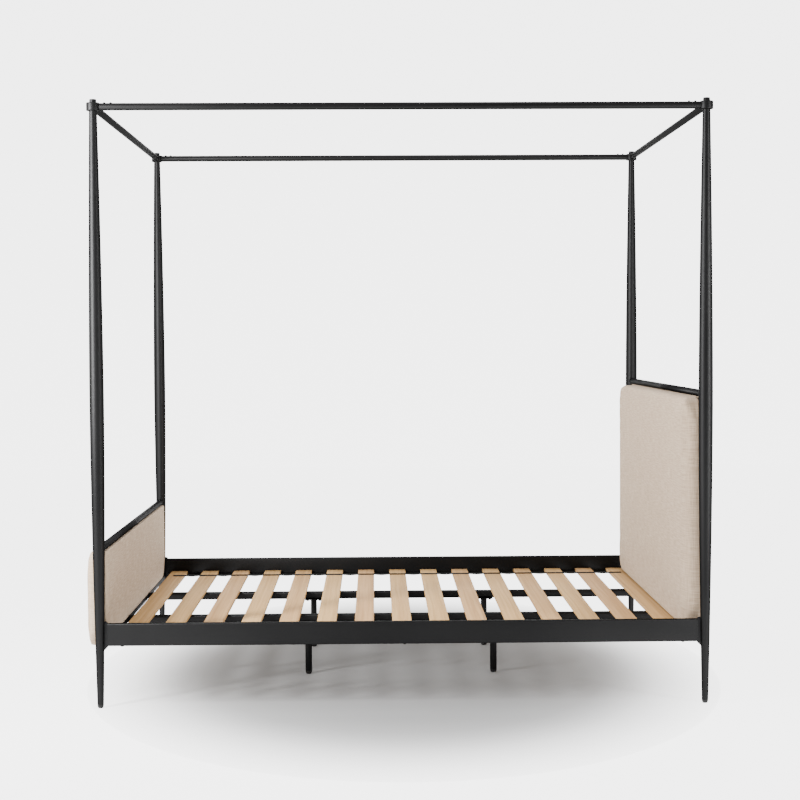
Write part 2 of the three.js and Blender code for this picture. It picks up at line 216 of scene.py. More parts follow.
class Finish:
    """One material as it is mixed: its shader, and the nodes that feed it."""

    def __init__(self, name, **constants):
        self.material = bpy.data.materials.new(name)
        self.material.use_nodes = True
        self.tree = self.material.node_tree
        self.shader = self.tree.nodes["Principled BSDF"]
        self.feed(self.shader, constants)

    def feed(self, node, inputs):
        for key, value in inputs.items():
            name = key.replace("_", " ") if isinstance(key, str) else key
            if isinstance(value, Wire):
                self.tree.links.new(value.socket, node.inputs[name])
            elif isinstance(value, tuple) and len(node.inputs[name].default_value) == len(value) + 1:
                node.inputs[name].default_value = (*value, 1)
            else:
                node.inputs[name].default_value = value

    def node(self, kind, settings=None, inputs=None, output=0):
        """Adds a node. Settings come first, with a ramp's stops as {"stops": [(place, colour)]}."""
        node = self.tree.nodes.new("ShaderNode" + kind)
        settings = dict(settings or {})
        stops = settings.pop("stops", None)
        for key, value in settings.items():
            setattr(node, key, value)
        if stops:
            elements = node.color_ramp.elements
            while len(elements) < len(stops):
                elements.new(0.5)
            for element, (place, colour) in zip(elements, stops):
                element.position = place
                element.color = (*colour, 1)
        self.feed(node, inputs or {})
        return Wire(self.tree, node.outputs[output])

    def place(self):
        """The x, y and z wires of a point on the piece, in metres, and the point itself."""
        point = self.node("TexCoord", output="Object")
        node = self.tree.nodes.new("ShaderNodeSeparateXYZ")
        self.tree.links.new(point.socket, node.inputs[0])
        return [Wire(self.tree, socket) for socket in node.outputs] + [point]

    def point(self, x, y, z):
        return self.node("CombineXYZ", inputs={"X": x, "Y": y, "Z": z})

    def noise(self, point, scale, detail=2.0, roughness=0.5):
        values = {"Vector": point, "Scale": scale, "Detail": detail, "Roughness": roughness}
        return self.node("TexNoise", inputs=values, output="Fac")

    def mix(self, share, first, second):
        settings = {"data_type": "RGBA"}
        return self.node("Mix", settings, {0: share, 6: first, 7: second}, output=2)

    def bump(self, height, distance, strength=1.0, normal=None):
        values = {"Height": height, "Distance": distance, "Strength": strength}
        if normal is not None:
            values["Normal"] = normal
        return self.node("Bump", inputs=values, output="Normal")

    def done(self, **inputs):
        self.feed(self.shader, inputs)
        return self.material


def powder_coat():
    """Satin black powder coat: a fine orange peel, faint cloudiness and pale dust flecks all over."""
    finish = Finish("satin_black_coat", Metallic=0.9, IOR=1.2, Specular_Tint=(0.12, 0.12, 0.12))
    point = finish.place()[3]
    cloud = finish.noise(point, 3.5, 3)
    peel = finish.noise(point, 650, 2, 0.6)
    speck = finish.noise(point, 2400, 1)
    base = finish.mix(cloud, (0.011, 0.011, 0.0112), (0.017, 0.017, 0.0172))
    fleck = finish.mix((speck > 0.66) * 0.3, base, (0.04, 0.04, 0.041))
    rough = 0.40 + 0.08 * cloud + 0.06 * peel
    return finish.done(Base_Color=fleck, Roughness=rough, Normal=finish.bump(peel, 0.00012, 0.5))


satin_black = powder_coat()


def start_fresh():
    if bpy.context.mode != "OBJECT":
        bpy.ops.object.mode_set(mode="OBJECT")
    bpy.ops.object.select_all(action="DESELECT")


def select_faces(piece, wanted):
    """In edit mode, selects just the faces whose centre and normal are wanted."""
    mesh = bmesh.from_edit_mesh(piece.data)
    bpy.ops.mesh.select_mode(type="FACE")
    for face in mesh.faces:
        face.select_set(bool(wanted(face.calc_center_median(), face.normal)))
    mesh.select_flush_mode()
    bmesh.update_edit_mesh(piece.data)


def select_edges(piece, wanted):
    """In edit mode, selects just the edges whose two ends are wanted."""
    mesh = bmesh.from_edit_mesh(piece.data)
    bpy.ops.mesh.select_mode(type="EDGE")
    for edge in mesh.edges:
        edge.select_set(bool(wanted(edge.verts[0].co, edge.verts[1].co)))
    mesh.select_flush_mode()
    bmesh.update_edit_mesh(piece.data)


def add_modifier(piece, kind, **settings):
    modifier = piece.modifiers.new(kind.lower(), kind)
    for key, value in settings.items():
        setattr(modifier, key, value)
    bpy.context.view_layer.objects.active = piece
    bpy.ops.object.modifier_apply(modifier=modifier.name)


def finish_mesh(piece, name, material, smooth=35):
    """Puts the piece's place into its mesh, turns its faces outward and shades it."""
    start_fresh()
    piece.select_set(True)
    bpy.context.view_layer.objects.active = piece
    bpy.ops.object.transform_apply(location=True, rotation=True, scale=True)
    bpy.ops.object.mode_set(mode="EDIT")
    bpy.ops.mesh.select_all(action="SELECT")
    bpy.ops.mesh.normals_make_consistent(inside=False)
    bpy.ops.object.mode_set(mode="OBJECT")
    bpy.ops.object.shade_smooth_by_angle(angle=math.radians(smooth))
    piece.name = name
    piece.data.name = name
    piece.data.materials.clear()
    piece.data.materials.append(material)
    return piece


def put(piece, slot, *nodes, body="bed_frame"):
    """The piece rides on a body and may stand for CAD nodes. Its slot is not used."""
    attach(piece, body)
    if nodes:
        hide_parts(*nodes)
    return piece


def copy_of(piece, name, move=(0, 0, 0), turn=0.0):
    """Another of the same piece, with its own mesh, turned about Z and then moved."""
    mesh = piece.data.copy()
    mesh.transform(Matrix.Translation(move) @ Matrix.Rotation(turn, 4, "Z"))
    twin = bpy.data.objects.new(name, mesh)
    mesh.name = name
    bpy.context.collection.objects.link(twin)
    return twin


def turned(name, outline, material, sides=48, smooth=35):
    """A round solid about Z, grown ring by ring from its lowest face, from (radius, height) pairs."""
    start_fresh()
    (radius, low), (_, height) = outline[:2]
    bpy.ops.mesh.primitive_cylinder_add(
        vertices=sides, radius=radius, depth=height - low, location=(0, 0, (low + height) / 2))
    piece = bpy.context.object
    bpy.ops.object.transform_apply(location=True)
    bpy.ops.object.mode_set(mode="EDIT")
    middle = (low + height) / 2
    select_faces(piece, lambda centre, normal: centre.z > middle and normal.z > 0.5)
    last = (radius, height)
    for number, (radius, height) in enumerate(outline[1:]):
        if number:
            rise = {"value": (0, 0, height - last[1])}
            bpy.ops.mesh.extrude_region_move(TRANSFORM_OT_translate=rise)
        share = radius / last[0]
        bpy.ops.transform.resize(value=(share, share, 1), center_override=(0, 0, height))
        last = (radius, height)
    bpy.ops.object.mode_set(mode="OBJECT")
    return finish_mesh(piece, name, material, smooth)


ends = {"foot": -1, "head": 1}
sides = {"near": -1, "far": 1}
corners = [(end, side) for end in ends for side in sides]


def middle_of(node):
    low, high = (Vector(corner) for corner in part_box(node))
    return (low + high) / 2


post_places = {}
for end, side in corners:
    glide_middle = middle_of(f"post_glide_{end}_{side}")
    post_places[end, side] = Vector((glide_middle.x, glide_middle.y, 0))

post_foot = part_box("post_foot_near")[0][2]
post_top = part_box("post_foot_near")[1][2]
collar_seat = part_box("canopy_collar_foot_near")[0][2]
waist_height = 1.057
waist_radius = 0.025


def post_radius(height):
    if height > waist_height:
        end_radius, span, taper = 0.0135, collar_seat - waist_height, 1.6
    else:
        end_radius, span, taper = 0.01125, waist_height - 0.012, 1.7
    share = min(abs(height - waist_height) / span, 1)
    return waist_radius - (waist_radius - end_radius) * share ** taper


def post_outline():
    rings = 44
    heights = [post_foot + (collar_seat - post_foot) * i / rings for i in range(rings + 1)]
    outline = [(post_radius(height), height) for height in heights]
    neck, rounding, steps = 0.012, 0.0028, 5
    outline.append((neck, collar_seat + 0.0001))
    for i in range(steps + 1):
        angle = math.pi / 2 * i / steps
        inward, down = rounding * (1 - math.cos(angle)), rounding * (1 - math.sin(angle))
        outline.append((neck - inward, post_top - down))
    return outline


def open_the_foot(post):
    """The tube's foot is open, as deep as the glide's plug reaches."""
    bpy.context.view_layer.objects.active = post
    bpy.ops.object.mode_set(mode="EDIT")
    select_faces(post, lambda centre, normal: normal.z < -0.9 and centre.z < post_foot + 0.001)
    bpy.ops.mesh.inset(thickness=0.0019, depth=0)
    bpy.ops.mesh.extrude_region_move(TRANSFORM_OT_translate={"value": (0, 0, 0.03)})
    bpy.ops.object.mode_set(mode="OBJECT")


first_post = turned("post", post_outline(), satin_black, sides=64)
open_the_foot(first_post)
finish_mesh(first_post, "post", satin_black)

bracket_thickness = 0.006
bracket_low, bracket_high = 0.202, 0.304
bracket_shoulder, bracket_tip = 0.0282, 0.082
tongue_low, tongue_high = 0.2218, 0.2942


def rail_bracket():
    """A plate along +X from the post, with a tongue that the hollow side rail slides over."""
    root = post_radius(bracket_low) - 0.001
    start_fresh()
    bpy.ops.mesh.primitive_cube_add(size=1)
    plate = bpy.context.object
    plate.scale = (bracket_shoulder - root, bracket_thickness, bracket_high - bracket_low)
    plate.location = ((bracket_shoulder + root) / 2, 0, (bracket_high + bracket_low) / 2)
    bpy.ops.object.transform_apply(location=True, scale=True)
    bpy.ops.object.mode_set(mode="EDIT")
    for height in (tongue_low, tongue_high):
        bpy.ops.mesh.select_all(action="SELECT")
        bpy.ops.mesh.bisect(plane_co=(0, 0, height), plane_no=(0, 0, 1))
    select_faces(plate, lambda centre, normal: normal.x > 0.5 and tongue_low < centre.z < tongue_high)
    reach = {"value": (bracket_tip - bracket_shoulder, 0, 0)}
    bpy.ops.mesh.extrude_region_move(TRANSFORM_OT_translate=reach)

    def at(height, x):
        return lambda a, b: all(abs(v.z - height) < 1e-4 and abs(v.x - x) < 1e-4 for v in (a, b))

    select_edges(plate, at(bracket_low, bracket_shoulder))
    bpy.ops.mesh.bevel(offset=0.013, segments=1, affect="EDGES")
    select_edges(plate, at(bracket_high, bracket_shoulder))
    bpy.ops.mesh.bevel(offset=0.007, segments=6, affect="EDGES")
    bpy.ops.object.mode_set(mode="OBJECT")
    add_modifier(plate, "BEVEL", width=0.0006, segments=2, limit_method="ANGLE")
    return finish_mesh(plate, "rail_bracket", satin_black)


first_bracket = rail_bracket()
for end, side in corners:
    place = post_places[end, side]
    node = f"post_{end}_{side}"
    post = copy_of(first_post, f"post_tube_{end}_{side}", place)
    put(post, "black_steel", node)
    bracket = copy_of(first_bracket, f"rail_bracket_{end}_{side}", place, 0 if ends[end] < 0 else math.pi)
    put(bracket, "black_steel", node)
bpy.data.objects.remove(first_post)
bpy.data.objects.remove(first_bracket)

# ---- Post glides -------------------------------------------------------------------------
# A moulded black plastic plug sits in the open foot of each post, its rim flush with the tube
# and tapering to a small round tread on the floor.


def moulded_plastic():
    finish = Finish("black_plastic", IOR=1.2)
    point = finish.place()[3]
    grain = finish.noise(point, 1500, 2)
    scuff = finish.noise(point, 60, 4, 0.7)
    base = finish.mix(scuff, (0.010, 0.010, 0.010), (0.020, 0.020, 0.020))
    return finish.done(Base_Color=base, Roughness=0.5 + 0.2 * scuff, Normal=finish.bump(grain, 0.0001, 0.4))


black_plastic = moulded_plastic()
tread_radius, rim_radius, plug_radius = 0.0085, 0.01125, 0.0089
glide_outline = [
    (tread_radius - 0.0008, 0.0), (tread_radius, 0.0006), (0.0098, 0.004), (0.0108, 0.0075),
    (rim_radius, 0.0092), (rim_radius, 0.0118), (plug_radius, 0.012), (plug_radius, 0.031),
    (plug_radius - 0.0015, 0.034),
]
first_glide = turned("post_glide", glide_outline, black_plastic)
for end, side in corners:
    node = f"post_glide_{end}_{side}"
    glide = copy_of(first_glide, f"glide_{end}_{side}", post_places[end, side])
    put(glide, "glide_plastic", node)
bpy.data.objects.remove(first_glide)

# ---- Canopy collars and rails ------------------------------------------------------------
# A thick steel ring sits on the shoulder of each post. Two spigots welded to it carry the ends
# of the round canopy rails. Everything is coated like the posts.


def ring(name, outer, inner, length, material, rounding, sides=64):
    """A short or long tube about Z, centred on the origin, its rims rounded."""
    start_fresh()
    bpy.ops.mesh.primitive_cylinder_add(vertices=sides, radius=outer, depth=length, end_fill_type="NOTHING")
    piece = bpy.context.object
    add_modifier(piece, "SOLIDIFY", thickness=outer - inner, offset=-1)
    rims = math.radians(60)
    add_modifier(piece, "BEVEL", width=rounding, segments=4, limit_method="ANGLE", angle_limit=rims)
    return finish_mesh(piece, name, material)


def laid(piece, direction):
    """Turns a piece that was made about Z so that it lies along X or along Y."""
    axis = "Y" if direction == "X" else "X"
    piece.data.transform(Matrix.Rotation(math.pi / 2, 4, axis))
    return piece


def bored(piece, places, radius):
    """Drills upright screw holes, each centred on a place and 20 mm deep altogether."""
    for place in places:
        start_fresh()
        bpy.ops.mesh.primitive_cylinder_add(vertices=32, radius=radius, depth=0.02, location=place)
        drill = bpy.context.object
        add_modifier(piece, "BOOLEAN", object=drill, operation="DIFFERENCE", solver="EXACT")
        bpy.data.objects.remove(drill)
    return finish_mesh(piece, piece.name, piece.data.materials[0])


collar_low, collar_high = (Vector(corner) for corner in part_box("canopy_collar_foot_near"))
collar_height = collar_high.z - collar_low.z
collar_radius = 0.023
spigot_radius = 0.0108
rail_height = middle_of("canopy_side_rail_near").z
first_collar = ring("collar", collar_radius, 0.0123, collar_height, satin_black, 0.0025)
spigot_outline = [
    (spigot_radius, collar_radius - 0.004), (spigot_radius, collar_radius + 0.056),
    (spigot_radius - 0.002, collar_radius + 0.058),
]
along_spigot = laid(turned("spigot", spigot_outline, satin_black), "X")
cross_spigot = laid(turned("spigot", spigot_outline, satin_black), "Y")
canopy_tube_radius, screw_bore = 0.0127, 0.0026
screw_places = [
    Vector((*middle_of(f"canopy_screw_{end}_{side}_{number}").xy, rail_height + canopy_tube_radius))
    for end, side in corners for number in (1, 2)
]
first_post_top = post_places["foot", "near"] + Vector((0, 0, rail_height))
bored(along_spigot, [place - first_post_top for place in screw_places[:2]], screw_bore)
for end, side in corners:
    node = f"canopy_collar_{end}_{side}"
    place = post_places[end, side] + Vector((0, 0, rail_height))
    put(copy_of(first_collar, f"collar_{end}_{side}", place), "black_steel", node)
    long_turn = 0 if ends[end] < 0 else math.pi
    cross_turn = math.pi if sides[side] < 0 else 0
    put(copy_of(along_spigot, f"spigot_long_{end}_{side}", place, long_turn), "black_steel", node)
    put(copy_of(cross_spigot, f"spigot_cross_{end}_{side}", place, cross_turn), "black_steel", node)
for part in (first_collar, along_spigot, cross_spigot):
    bpy.data.objects.remove(part)

for side, sign in sides.items():
    node = f"canopy_side_rail_{side}"
    low, high = (Vector(corner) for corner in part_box(node))
    tube = ring(f"canopy_tube_{side}", canopy_tube_radius, 0.0111, high.x - low.x, satin_black, 0.0005)
    laid(tube, "X").data.transform(Matrix.Translation((low + high) / 2))
    bored(tube, [place for place in screw_places if place.y * sign > 0], screw_bore)
    put(tube, "black_steel", node)
for end in ends:
    node = f"canopy_end_rail_{end}"
    low, high = (Vector(corner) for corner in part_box(node))
    tube = ring(f"canopy_tube_{end}", canopy_tube_radius, 0.0111, high.y - low.y, satin_black, 0.0005)
    laid(tube, "Y").data.transform(Matrix.Translation((low + high) / 2))
    put(tube, "black_steel", node)

# ---- Canopy screws -----------------------------------------------------------------------
# Black button-head screws with hexagon sockets, two at each end of the long canopy rails. They
# clamp the rails to the spigots of the collars.


def black_oxide():
    """Oiled black oxide on steel, with rubbed brighter spots."""
    finish = Finish("black_oxide_steel", Metallic=0.7, IOR=1.4)
    point = finish.place()[3]
    rub = finish.noise(point, 300, 3, 0.6)
    base = finish.mix(rub, (0.020, 0.020, 0.021), (0.055, 0.054, 0.052))
    return finish.done(Base_Color=base, Roughness=0.32 + 0.25 * rub, Normal=finish.bump(rub, 0.0001, 0.3))


oxide = black_oxide()


def socket_screw(name, head_radius, head_height, shank_radius, shank_length, socket_width):
    """A button-head screw about Z, its head sitting on height 0."""
    start_fresh()
    socket_middle = (0, 0, head_height * 0.95)
    bpy.ops.mesh.primitive_cylinder_add(
        vertices=6, radius=socket_width / math.sqrt(3), depth=head_height, location=socket_middle)
    socket = bpy.context.object
    screw = turned(name, [
        (shank_radius, -shank_length), (shank_radius, 0.0), (head_radius * 0.94, 0.0),
        (head_radius, head_height * 0.1), (head_radius, head_height * 0.4),
        (head_radius * 0.93, head_height * 0.65), (head_radius * 0.8, head_height * 0.85),
        (head_radius * 0.62, head_height),
    ], oxide, sides=32)
    add_modifier(screw, "BOOLEAN", object=socket, operation="DIFFERENCE", solver="EXACT")
    bpy.data.objects.remove(socket)
    return screw


above_tube = Vector((0, 0, 0.0003))
first_screw = socket_screw("canopy_screw", 0.004, 0.0026, 0.0023, 0.0085, 0.003)
screw_names = [f"{end}_{side}_{number}" for end, side in corners for number in (1, 2)]
for name, place in zip(screw_names, screw_places):
    put(copy_of(first_screw, f"screw_{name}", place + above_tube), "screw_steel", f"canopy_screw_{name}")
bpy.data.objects.remove(first_screw)

# ---- Tubes over the two boards -----------------------------------------------------------
# Round steel tubes between the posts over the headboard and the footboard. Their ends are
# coped to the round posts and welded there.

for end in ends:
    node = f"{end}board_rail"
    middle = middle_of(node)
    post_place = post_places[end, "near"]
    tube = ring(f"{end}board_tube", 0.0127, 0.0111, -2 * post_place.y, satin_black, 0.0003)
    laid(tube, "Y").data.transform(Matrix.Translation((post_place.x, 0, middle.z)))
    for side in sides.values():
        start_fresh()
        bpy.ops.mesh.primitive_cylinder_add(
            vertices=64, radius=post_radius(middle.z) + 0.0003, depth=0.2,
            location=(post_place.x, -side * post_place.y, middle.z))
        cope = bpy.context.object
        add_modifier(tube, "BOOLEAN", object=cope, operation="DIFFERENCE", solver="EXACT")
        bpy.data.objects.remove(cope)
    put(tube, "black_steel", node)

# ---- Side rails --------------------------------------------------------------------------
# Box-section steel rails with softened corners, slid over the posts' brackets. An inward ledge
# is welded along each for the slats, and button-head screws show under the box.


def box_tube(name, size, wall, corner, segments, material):
    """A hollow rail along X, its long corners rounded and its ends open."""
    start_fresh()
    bpy.ops.mesh.primitive_cube_add(size=1)
    tube = bpy.context.object
    tube.scale = size
    bpy.ops.object.transform_apply(scale=True)
    bpy.ops.object.mode_set(mode="EDIT")
    select_faces(tube, lambda centre, normal: abs(normal.x) > 0.9)
    bpy.ops.mesh.delete(type="ONLY_FACE")
    select_edges(tube, lambda a, b: abs(a.x - b.x) > size[0] / 2)
    bpy.ops.mesh.bevel(offset=corner, segments=segments, affect="EDGES")
    bpy.ops.object.mode_set(mode="OBJECT")
    add_modifier(tube, "SOLIDIFY", thickness=wall, offset=-1, use_even_offset=True)
    add_modifier(tube, "BEVEL", width=0.0004, segments=2, limit_method="ANGLE", angle_limit=math.radians(70))
    return finish_mesh(tube, name, material)


ledge_reach, ledge_thickness, rail_thickness = 0.03, 0.003, 0.025
ledge_under_slats = 0.0003
under_rail_screws = (-0.9664, 0.0196, 0.2917, 0.9977)
under_screw_bore, under_screw_gap = 0.0033, 0.0002
first_under_screw = socket_screw("rail_screw", 0.0055, 0.0036, 0.003, 0.0028, 0.004)
first_under_screw.data.transform(Matrix.Rotation(math.pi, 4, "X"))
slat_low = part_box("slat_01")[0][2]
for side, sign in sides.items():
    node = f"side_rail_{side}"
    low, high = (Vector(corner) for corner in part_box(node))
    length, outer = high.x - low.x, (low.y if sign < 0 else high.y)
    rail = box_tube(f"rail_{side}", (length, rail_thickness, high.z - low.z), 0.0025, 0.003, 5, satin_black)
    rail_y = outer - sign * rail_thickness / 2
    rail.data.transform(Matrix.Translation(((low.x + high.x) / 2, rail_y, (low.z + high.z) / 2)))
    bored(rail, [Vector((x, rail_y, low.z)) for x in under_rail_screws], under_screw_bore)
    put(rail, "black_steel", node)
    start_fresh()
    bpy.ops.mesh.primitive_cube_add(size=1)
    ledge = bpy.context.object
    ledge.scale = (length - 0.004, ledge_reach, ledge_thickness)
    ledge_y = rail_y - sign * (rail_thickness + ledge_reach) / 2
    ledge.location = ((low.x + high.x) / 2, ledge_y, slat_low - ledge_under_slats - ledge_thickness / 2)
    bpy.ops.object.transform_apply(location=True, scale=True)
    add_modifier(ledge, "BEVEL", width=0.0008, segments=3, limit_method="ANGLE")
    put(finish_mesh(ledge, f"ledge_{side}", satin_black), "black_steel", node)
    for number, x in enumerate(under_rail_screws):
        under = (x, rail_y, low.z - under_screw_gap)
        put(copy_of(first_under_screw, f"rail_screw_{side}_{number + 1}", under), "screw_steel")
bpy.data.objects.remove(first_under_screw)

# ---- End rails ---------------------------------------------------------------------------
# A square steel tube under each board, welded between the two posts. It carries the board and
# stops the ends of the centre beams.

for end in ends:
    node = f"end_rail_{end}"
    low, high = (Vector(corner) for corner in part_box(node))
    size = (high.y - low.y, high.x - low.x, high.z - low.z)
    rail = box_tube(f"cross_rail_{end}", size, 0.002, 0.0025, 4, satin_black)
    rail.data.transform(Matrix.Translation((low + high) / 2) @ Matrix.Rotation(math.pi / 2, 4, "Z"))
    put(rail, "black_steel", node)

# ---- Centre beams, legs and levelling feet -----------------------------------------------
# Two rounded square tubes under the slats. Each has two tubular legs, bolted on through their
# top plates, and a moulded foot on a threaded stud screws in and out of every leg.

for side in sides:
    node = f"centre_beam_{side}"
    low, high = (Vector(corner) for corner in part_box(node))
    beam = box_tube(f"beam_{side}", high - low, 0.002, 0.008, 7, satin_black)
    beam.data.transform(Matrix.Translation((low + high) / 2))
    put(beam, "black_steel", node)

leg_low, leg_high = (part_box("centre_leg_foot_near")[row][2] for row in (0, 1))
leg_radius, plate_thickness, leg_bolt_pitch = 0.0127, 0.004, 0.051
first_leg = ring("leg", leg_radius, 0.0107, leg_high - plate_thickness - leg_low, satin_black, 0.0006, 48)
first_leg.data.transform(Matrix.Translation((0, 0, (leg_high - plate_thickness + leg_low) / 2)))
start_fresh()
bpy.ops.mesh.primitive_cube_add(size=1)
first_plate = bpy.context.object
first_plate.scale = (0.072, 0.034, plate_thickness)
first_plate.location = (0, 0, leg_high - plate_thickness / 2)
bpy.ops.object.transform_apply(location=True, scale=True)
bpy.ops.object.mode_set(mode="EDIT")
select_edges(first_plate, lambda a, b: abs(a.z - b.z) > 0.001)
bpy.ops.mesh.bevel(offset=0.005, segments=5, affect="EDGES")
bpy.ops.object.mode_set(mode="OBJECT")
add_modifier(first_plate, "BEVEL", width=0.0006, segments=2, limit_method="ANGLE", angle_limit=1.0)
finish_mesh(first_plate, "plate", satin_black)
first_nut = turned("leg_nut", [(0.0108, 0.0), (0.0108, 0.0118)], black_plastic, sides=48)
first_nut.data.transform(Matrix.Translation((0, 0, leg_low + 0.0002)))
first_bolt = turned("leg_bolt", [
    (0.0072, -0.0011), (0.0072, 0.0), (0.0058, 0.0), (0.0058, 0.0034), (0.005, 0.0042),
], oxide, sides=6, smooth=20)
first_bolt.data.transform(Matrix.Rotation(math.pi, 4, "X"))
foot_radius, foot_height, stud_radius = 0.0125, 0.011, 0.004
first_foot = turned("levelling_foot", [
    (0.0062, 0.0), (0.0085, 0.0006), (0.0104, 0.0022), (0.0117, 0.0045), (foot_radius, 0.0075),
    (foot_radius, 0.0098), (0.0118, foot_height), (stud_radius, foot_height), (stud_radius, 0.05),
    (0.003, 0.051),
], black_plastic)
start_fresh()
bore_cutter = turned("bore", [(0.0043, leg_low - 0.01), (0.0043, leg_low + 0.03)], black_plastic, sides=32)
add_modifier(first_nut, "BOOLEAN", object=bore_cutter, operation="DIFFERENCE", solver="EXACT")
bpy.data.objects.remove(bore_cutter)
for end, side in corners:
    leg_node, foot_node = f"centre_leg_{end}_{side}", f"leveller_{end}_{side}"
    place = Vector((*middle_of(leg_node).xy, 0))
    for piece, name in ((first_leg, "leg"), (first_plate, "leg_plate"), (first_nut, "leg_plug")):
        slot = "black_steel" if piece is not first_nut else "leveller_plastic"
        put(copy_of(piece, f"{name}_{end}_{side}", place), slot, leg_node)
    for number, sign in enumerate((-1, 1)):
        under = Vector((sign * leg_bolt_pitch / 2, 0, leg_high - plate_thickness - 0.0013)) + place
        put(copy_of(first_bolt, f"leg_bolt_{end}_{side}_{number + 1}", under), "screw_steel")
    foot = copy_of(first_foot, f"levelling_foot_{end}_{side}", place)
    put(foot, "leveller_plastic", foot_node, body=foot_node)
for part in (first_leg, first_plate, first_nut, first_bolt, first_foot):
    bpy.data.objects.remove(part)

# ---- Slats -------------------------------------------------------------------------------
# Fifteen sawn softwood slats with eased edges, laid across the ledges and the centre beams.
# Each board has its own tone and grain.

slat_tones = [0.34, 0.55, 0.42, 0.70, 0.52, 0.83, 0.60, 0.75, 0.90, 0.62, 0.80, 0.56, 0.72, 0.48, 0.35]
slat_blush = [0.20, 0.10, 0.60, 0.15, 0.45, 0.10, 0.80, 0.25, 0.10, 0.65, 0.20, 0.50, 0.10, 0.70, 0.30]


def slat_timber():
    """Pale sawn timber: broad wandering grain, fine fibres and short pores, all along Y."""
    finish = Finish("pale_slat_timber", IOR=1.08)
    x, y, z = finish.place()[:3]
    tone = finish.node("Attribute", {"attribute_name": "tone"}, output="Fac")
    blush = finish.node("Attribute", {"attribute_name": "blush"}, output="Fac")
    across = x + 3.1 * tone + 0.6 * z
    drift = finish.noise(finish.point(across * 6, y * 0.8, z * 6), 1.0, 3)
    bands = finish.noise(finish.point(across * 95 + 3.5 * drift, y * 1.0, z * 30), 1.0, 4, 0.6)
    fibre = finish.noise(finish.point(across * 620, y * 7, z * 400), 1.0, 3, 0.65)
    pore = finish.noise(finish.point(across * 900, y * 26, z * 900), 1.0, 1)
    pale = finish.mix(blush, (0.49, 0.315, 0.137), (0.49, 0.298, 0.146))
    brown = finish.mix(blush, (0.27, 0.155, 0.055), (0.28, 0.155, 0.07))
    share = 0.06 + 0.70 * tone + 1.9 * (bands - 0.5)
    base = finish.mix(finish.node("Clamp", inputs={"Value": share}), brown, pale)
    streaked = finish.mix(0.42 * fibre, base, (0.23, 0.13, 0.055))
    pitted = finish.mix((pore > 0.64) * 0.22, streaked, (0.15, 0.08, 0.04))
    grain = finish.bump(0.6 * fibre + 0.4 * bands, 0.0004, 0.5)
    return finish.done(Base_Color=pitted, Roughness=0.52 + 0.2 * fibre, Normal=grain)


timber = slat_timber()
for number, (tone, blush) in enumerate(zip(slat_tones, slat_blush), start=1):
    node = f"slat_{number:02d}"
    low, high = (Vector(corner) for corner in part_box(node))
    start_fresh()
    bpy.ops.mesh.primitive_cube_add(size=1)
    slat = bpy.context.object
    slat.scale = high - low
    slat.location = (low + high) / 2
    bpy.ops.object.transform_apply(location=True, scale=True)
    add_modifier(slat, "BEVEL", width=0.0014, segments=3, limit_method="ANGLE")
    finish_mesh(slat, f"board_{number:02d}", timber)
    for name, value in (("tone", tone), ("blush", blush)):
        attribute = slat.data.attributes.new(name, "FLOAT", "POINT")
        attribute.data.foreach_set("value", [value] * len(slat.data.vertices))
    put(slat, "slat_wood", node)

# ---- Webbing straps ----------------------------------------------------------------------
# Two black woven straps keep the slats their distance apart. They lie along the bed on top of
# the slats, near the slat ends, sag a little between them and are stapled to every slat.


def black_webbing():
    finish = Finish("black_webbing", Specular_IOR_Level=0.0)
    x, y, z, point = finish.place()
    rib = finish.noise(point, 900, 1)
    row = finish.noise(finish.point(x * 700, y * 250, z), 1.0, 1)
    base = finish.mix(row, (0.010, 0.010, 0.010), (0.030, 0.030, 0.030))
    return finish.done(Base_Color=base, Roughness=0.85 - 0.1 * rib, Normal=finish.bump(row, 0.0004, 0.7))


webbing = black_webbing()
strap_width, strap_thickness, strap_from_middle = 0.032, 0.0012, 0.640
strap_sag, under_strap = 0.0022, 0.0004
slat_boxes = [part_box(f"slat_{number:02d}") for number in range(1, 16)]
slat_top = slat_boxes[0][1][2]
slat_half = (slat_boxes[0][1][0] - slat_boxes[0][0][0]) / 2
slat_middles = [(box[0][0] + box[1][0]) / 2 for box in slat_boxes]
strap_past_middle = 0.012
strap_start, strap_finish = slat_middles[0] - strap_past_middle, slat_middles[-1] + strap_past_middle


def strap_height(x):
    """Flat on a slat, and a shallow bow in the gap between two."""
    low = slat_top + under_strap
    for one, other in zip(slat_middles, slat_middles[1:]):
        gap_start, gap_end = one + slat_half, other - slat_half
        if gap_start < x < gap_end:
            share = (x - gap_start) / (gap_end - gap_start)
            return low - strap_sag * math.sin(math.pi * share) ** 2
    return low


staple_points = []
for side, sign in sides.items():
    start_fresh()
    steps = 280
    bpy.ops.mesh.primitive_grid_add(x_subdivisions=steps, y_subdivisions=2, size=1)
    strap = bpy.context.object
    strap.scale = (strap_finish - strap_start, strap_width, 1)
    strap.location = ((strap_start + strap_finish) / 2, sign * strap_from_middle, 0)
    bpy.ops.object.transform_apply(location=True, scale=True)
    for vertex in strap.data.vertices:
        vertex.co.z = strap_height(vertex.co.x)
    add_modifier(strap, "SOLIDIFY", thickness=strap_thickness, offset=1)
    finish_mesh(strap, f"strap_{side}", webbing, smooth=50)
    put(strap, "black_steel")
    strap_finish - strap_start
    strap_top = slat_top + under_strap + strap_thickness
    staple_points += [(x, sign * strap_from_middle, strap_top) for x in slat_middles]
start_fresh()
bpy.ops.mesh.primitive_cube_add(size=1)
first_staple = bpy.context.object
first_staple.scale = (0.0012, 0.011, 0.0007)
first_staple.location = (0, 0, 0.0005)
bpy.ops.object.transform_apply(location=True, scale=True)
add_modifier(first_staple, "BEVEL", width=0.0003, segments=2, limit_method="ANGLE")
finish_mesh(first_staple, "staple", oxide)
for number, place in enumerate(staple_points, start=1):
    put(copy_of(first_staple, f"staple_{number:02d}", place), "screw_steel")
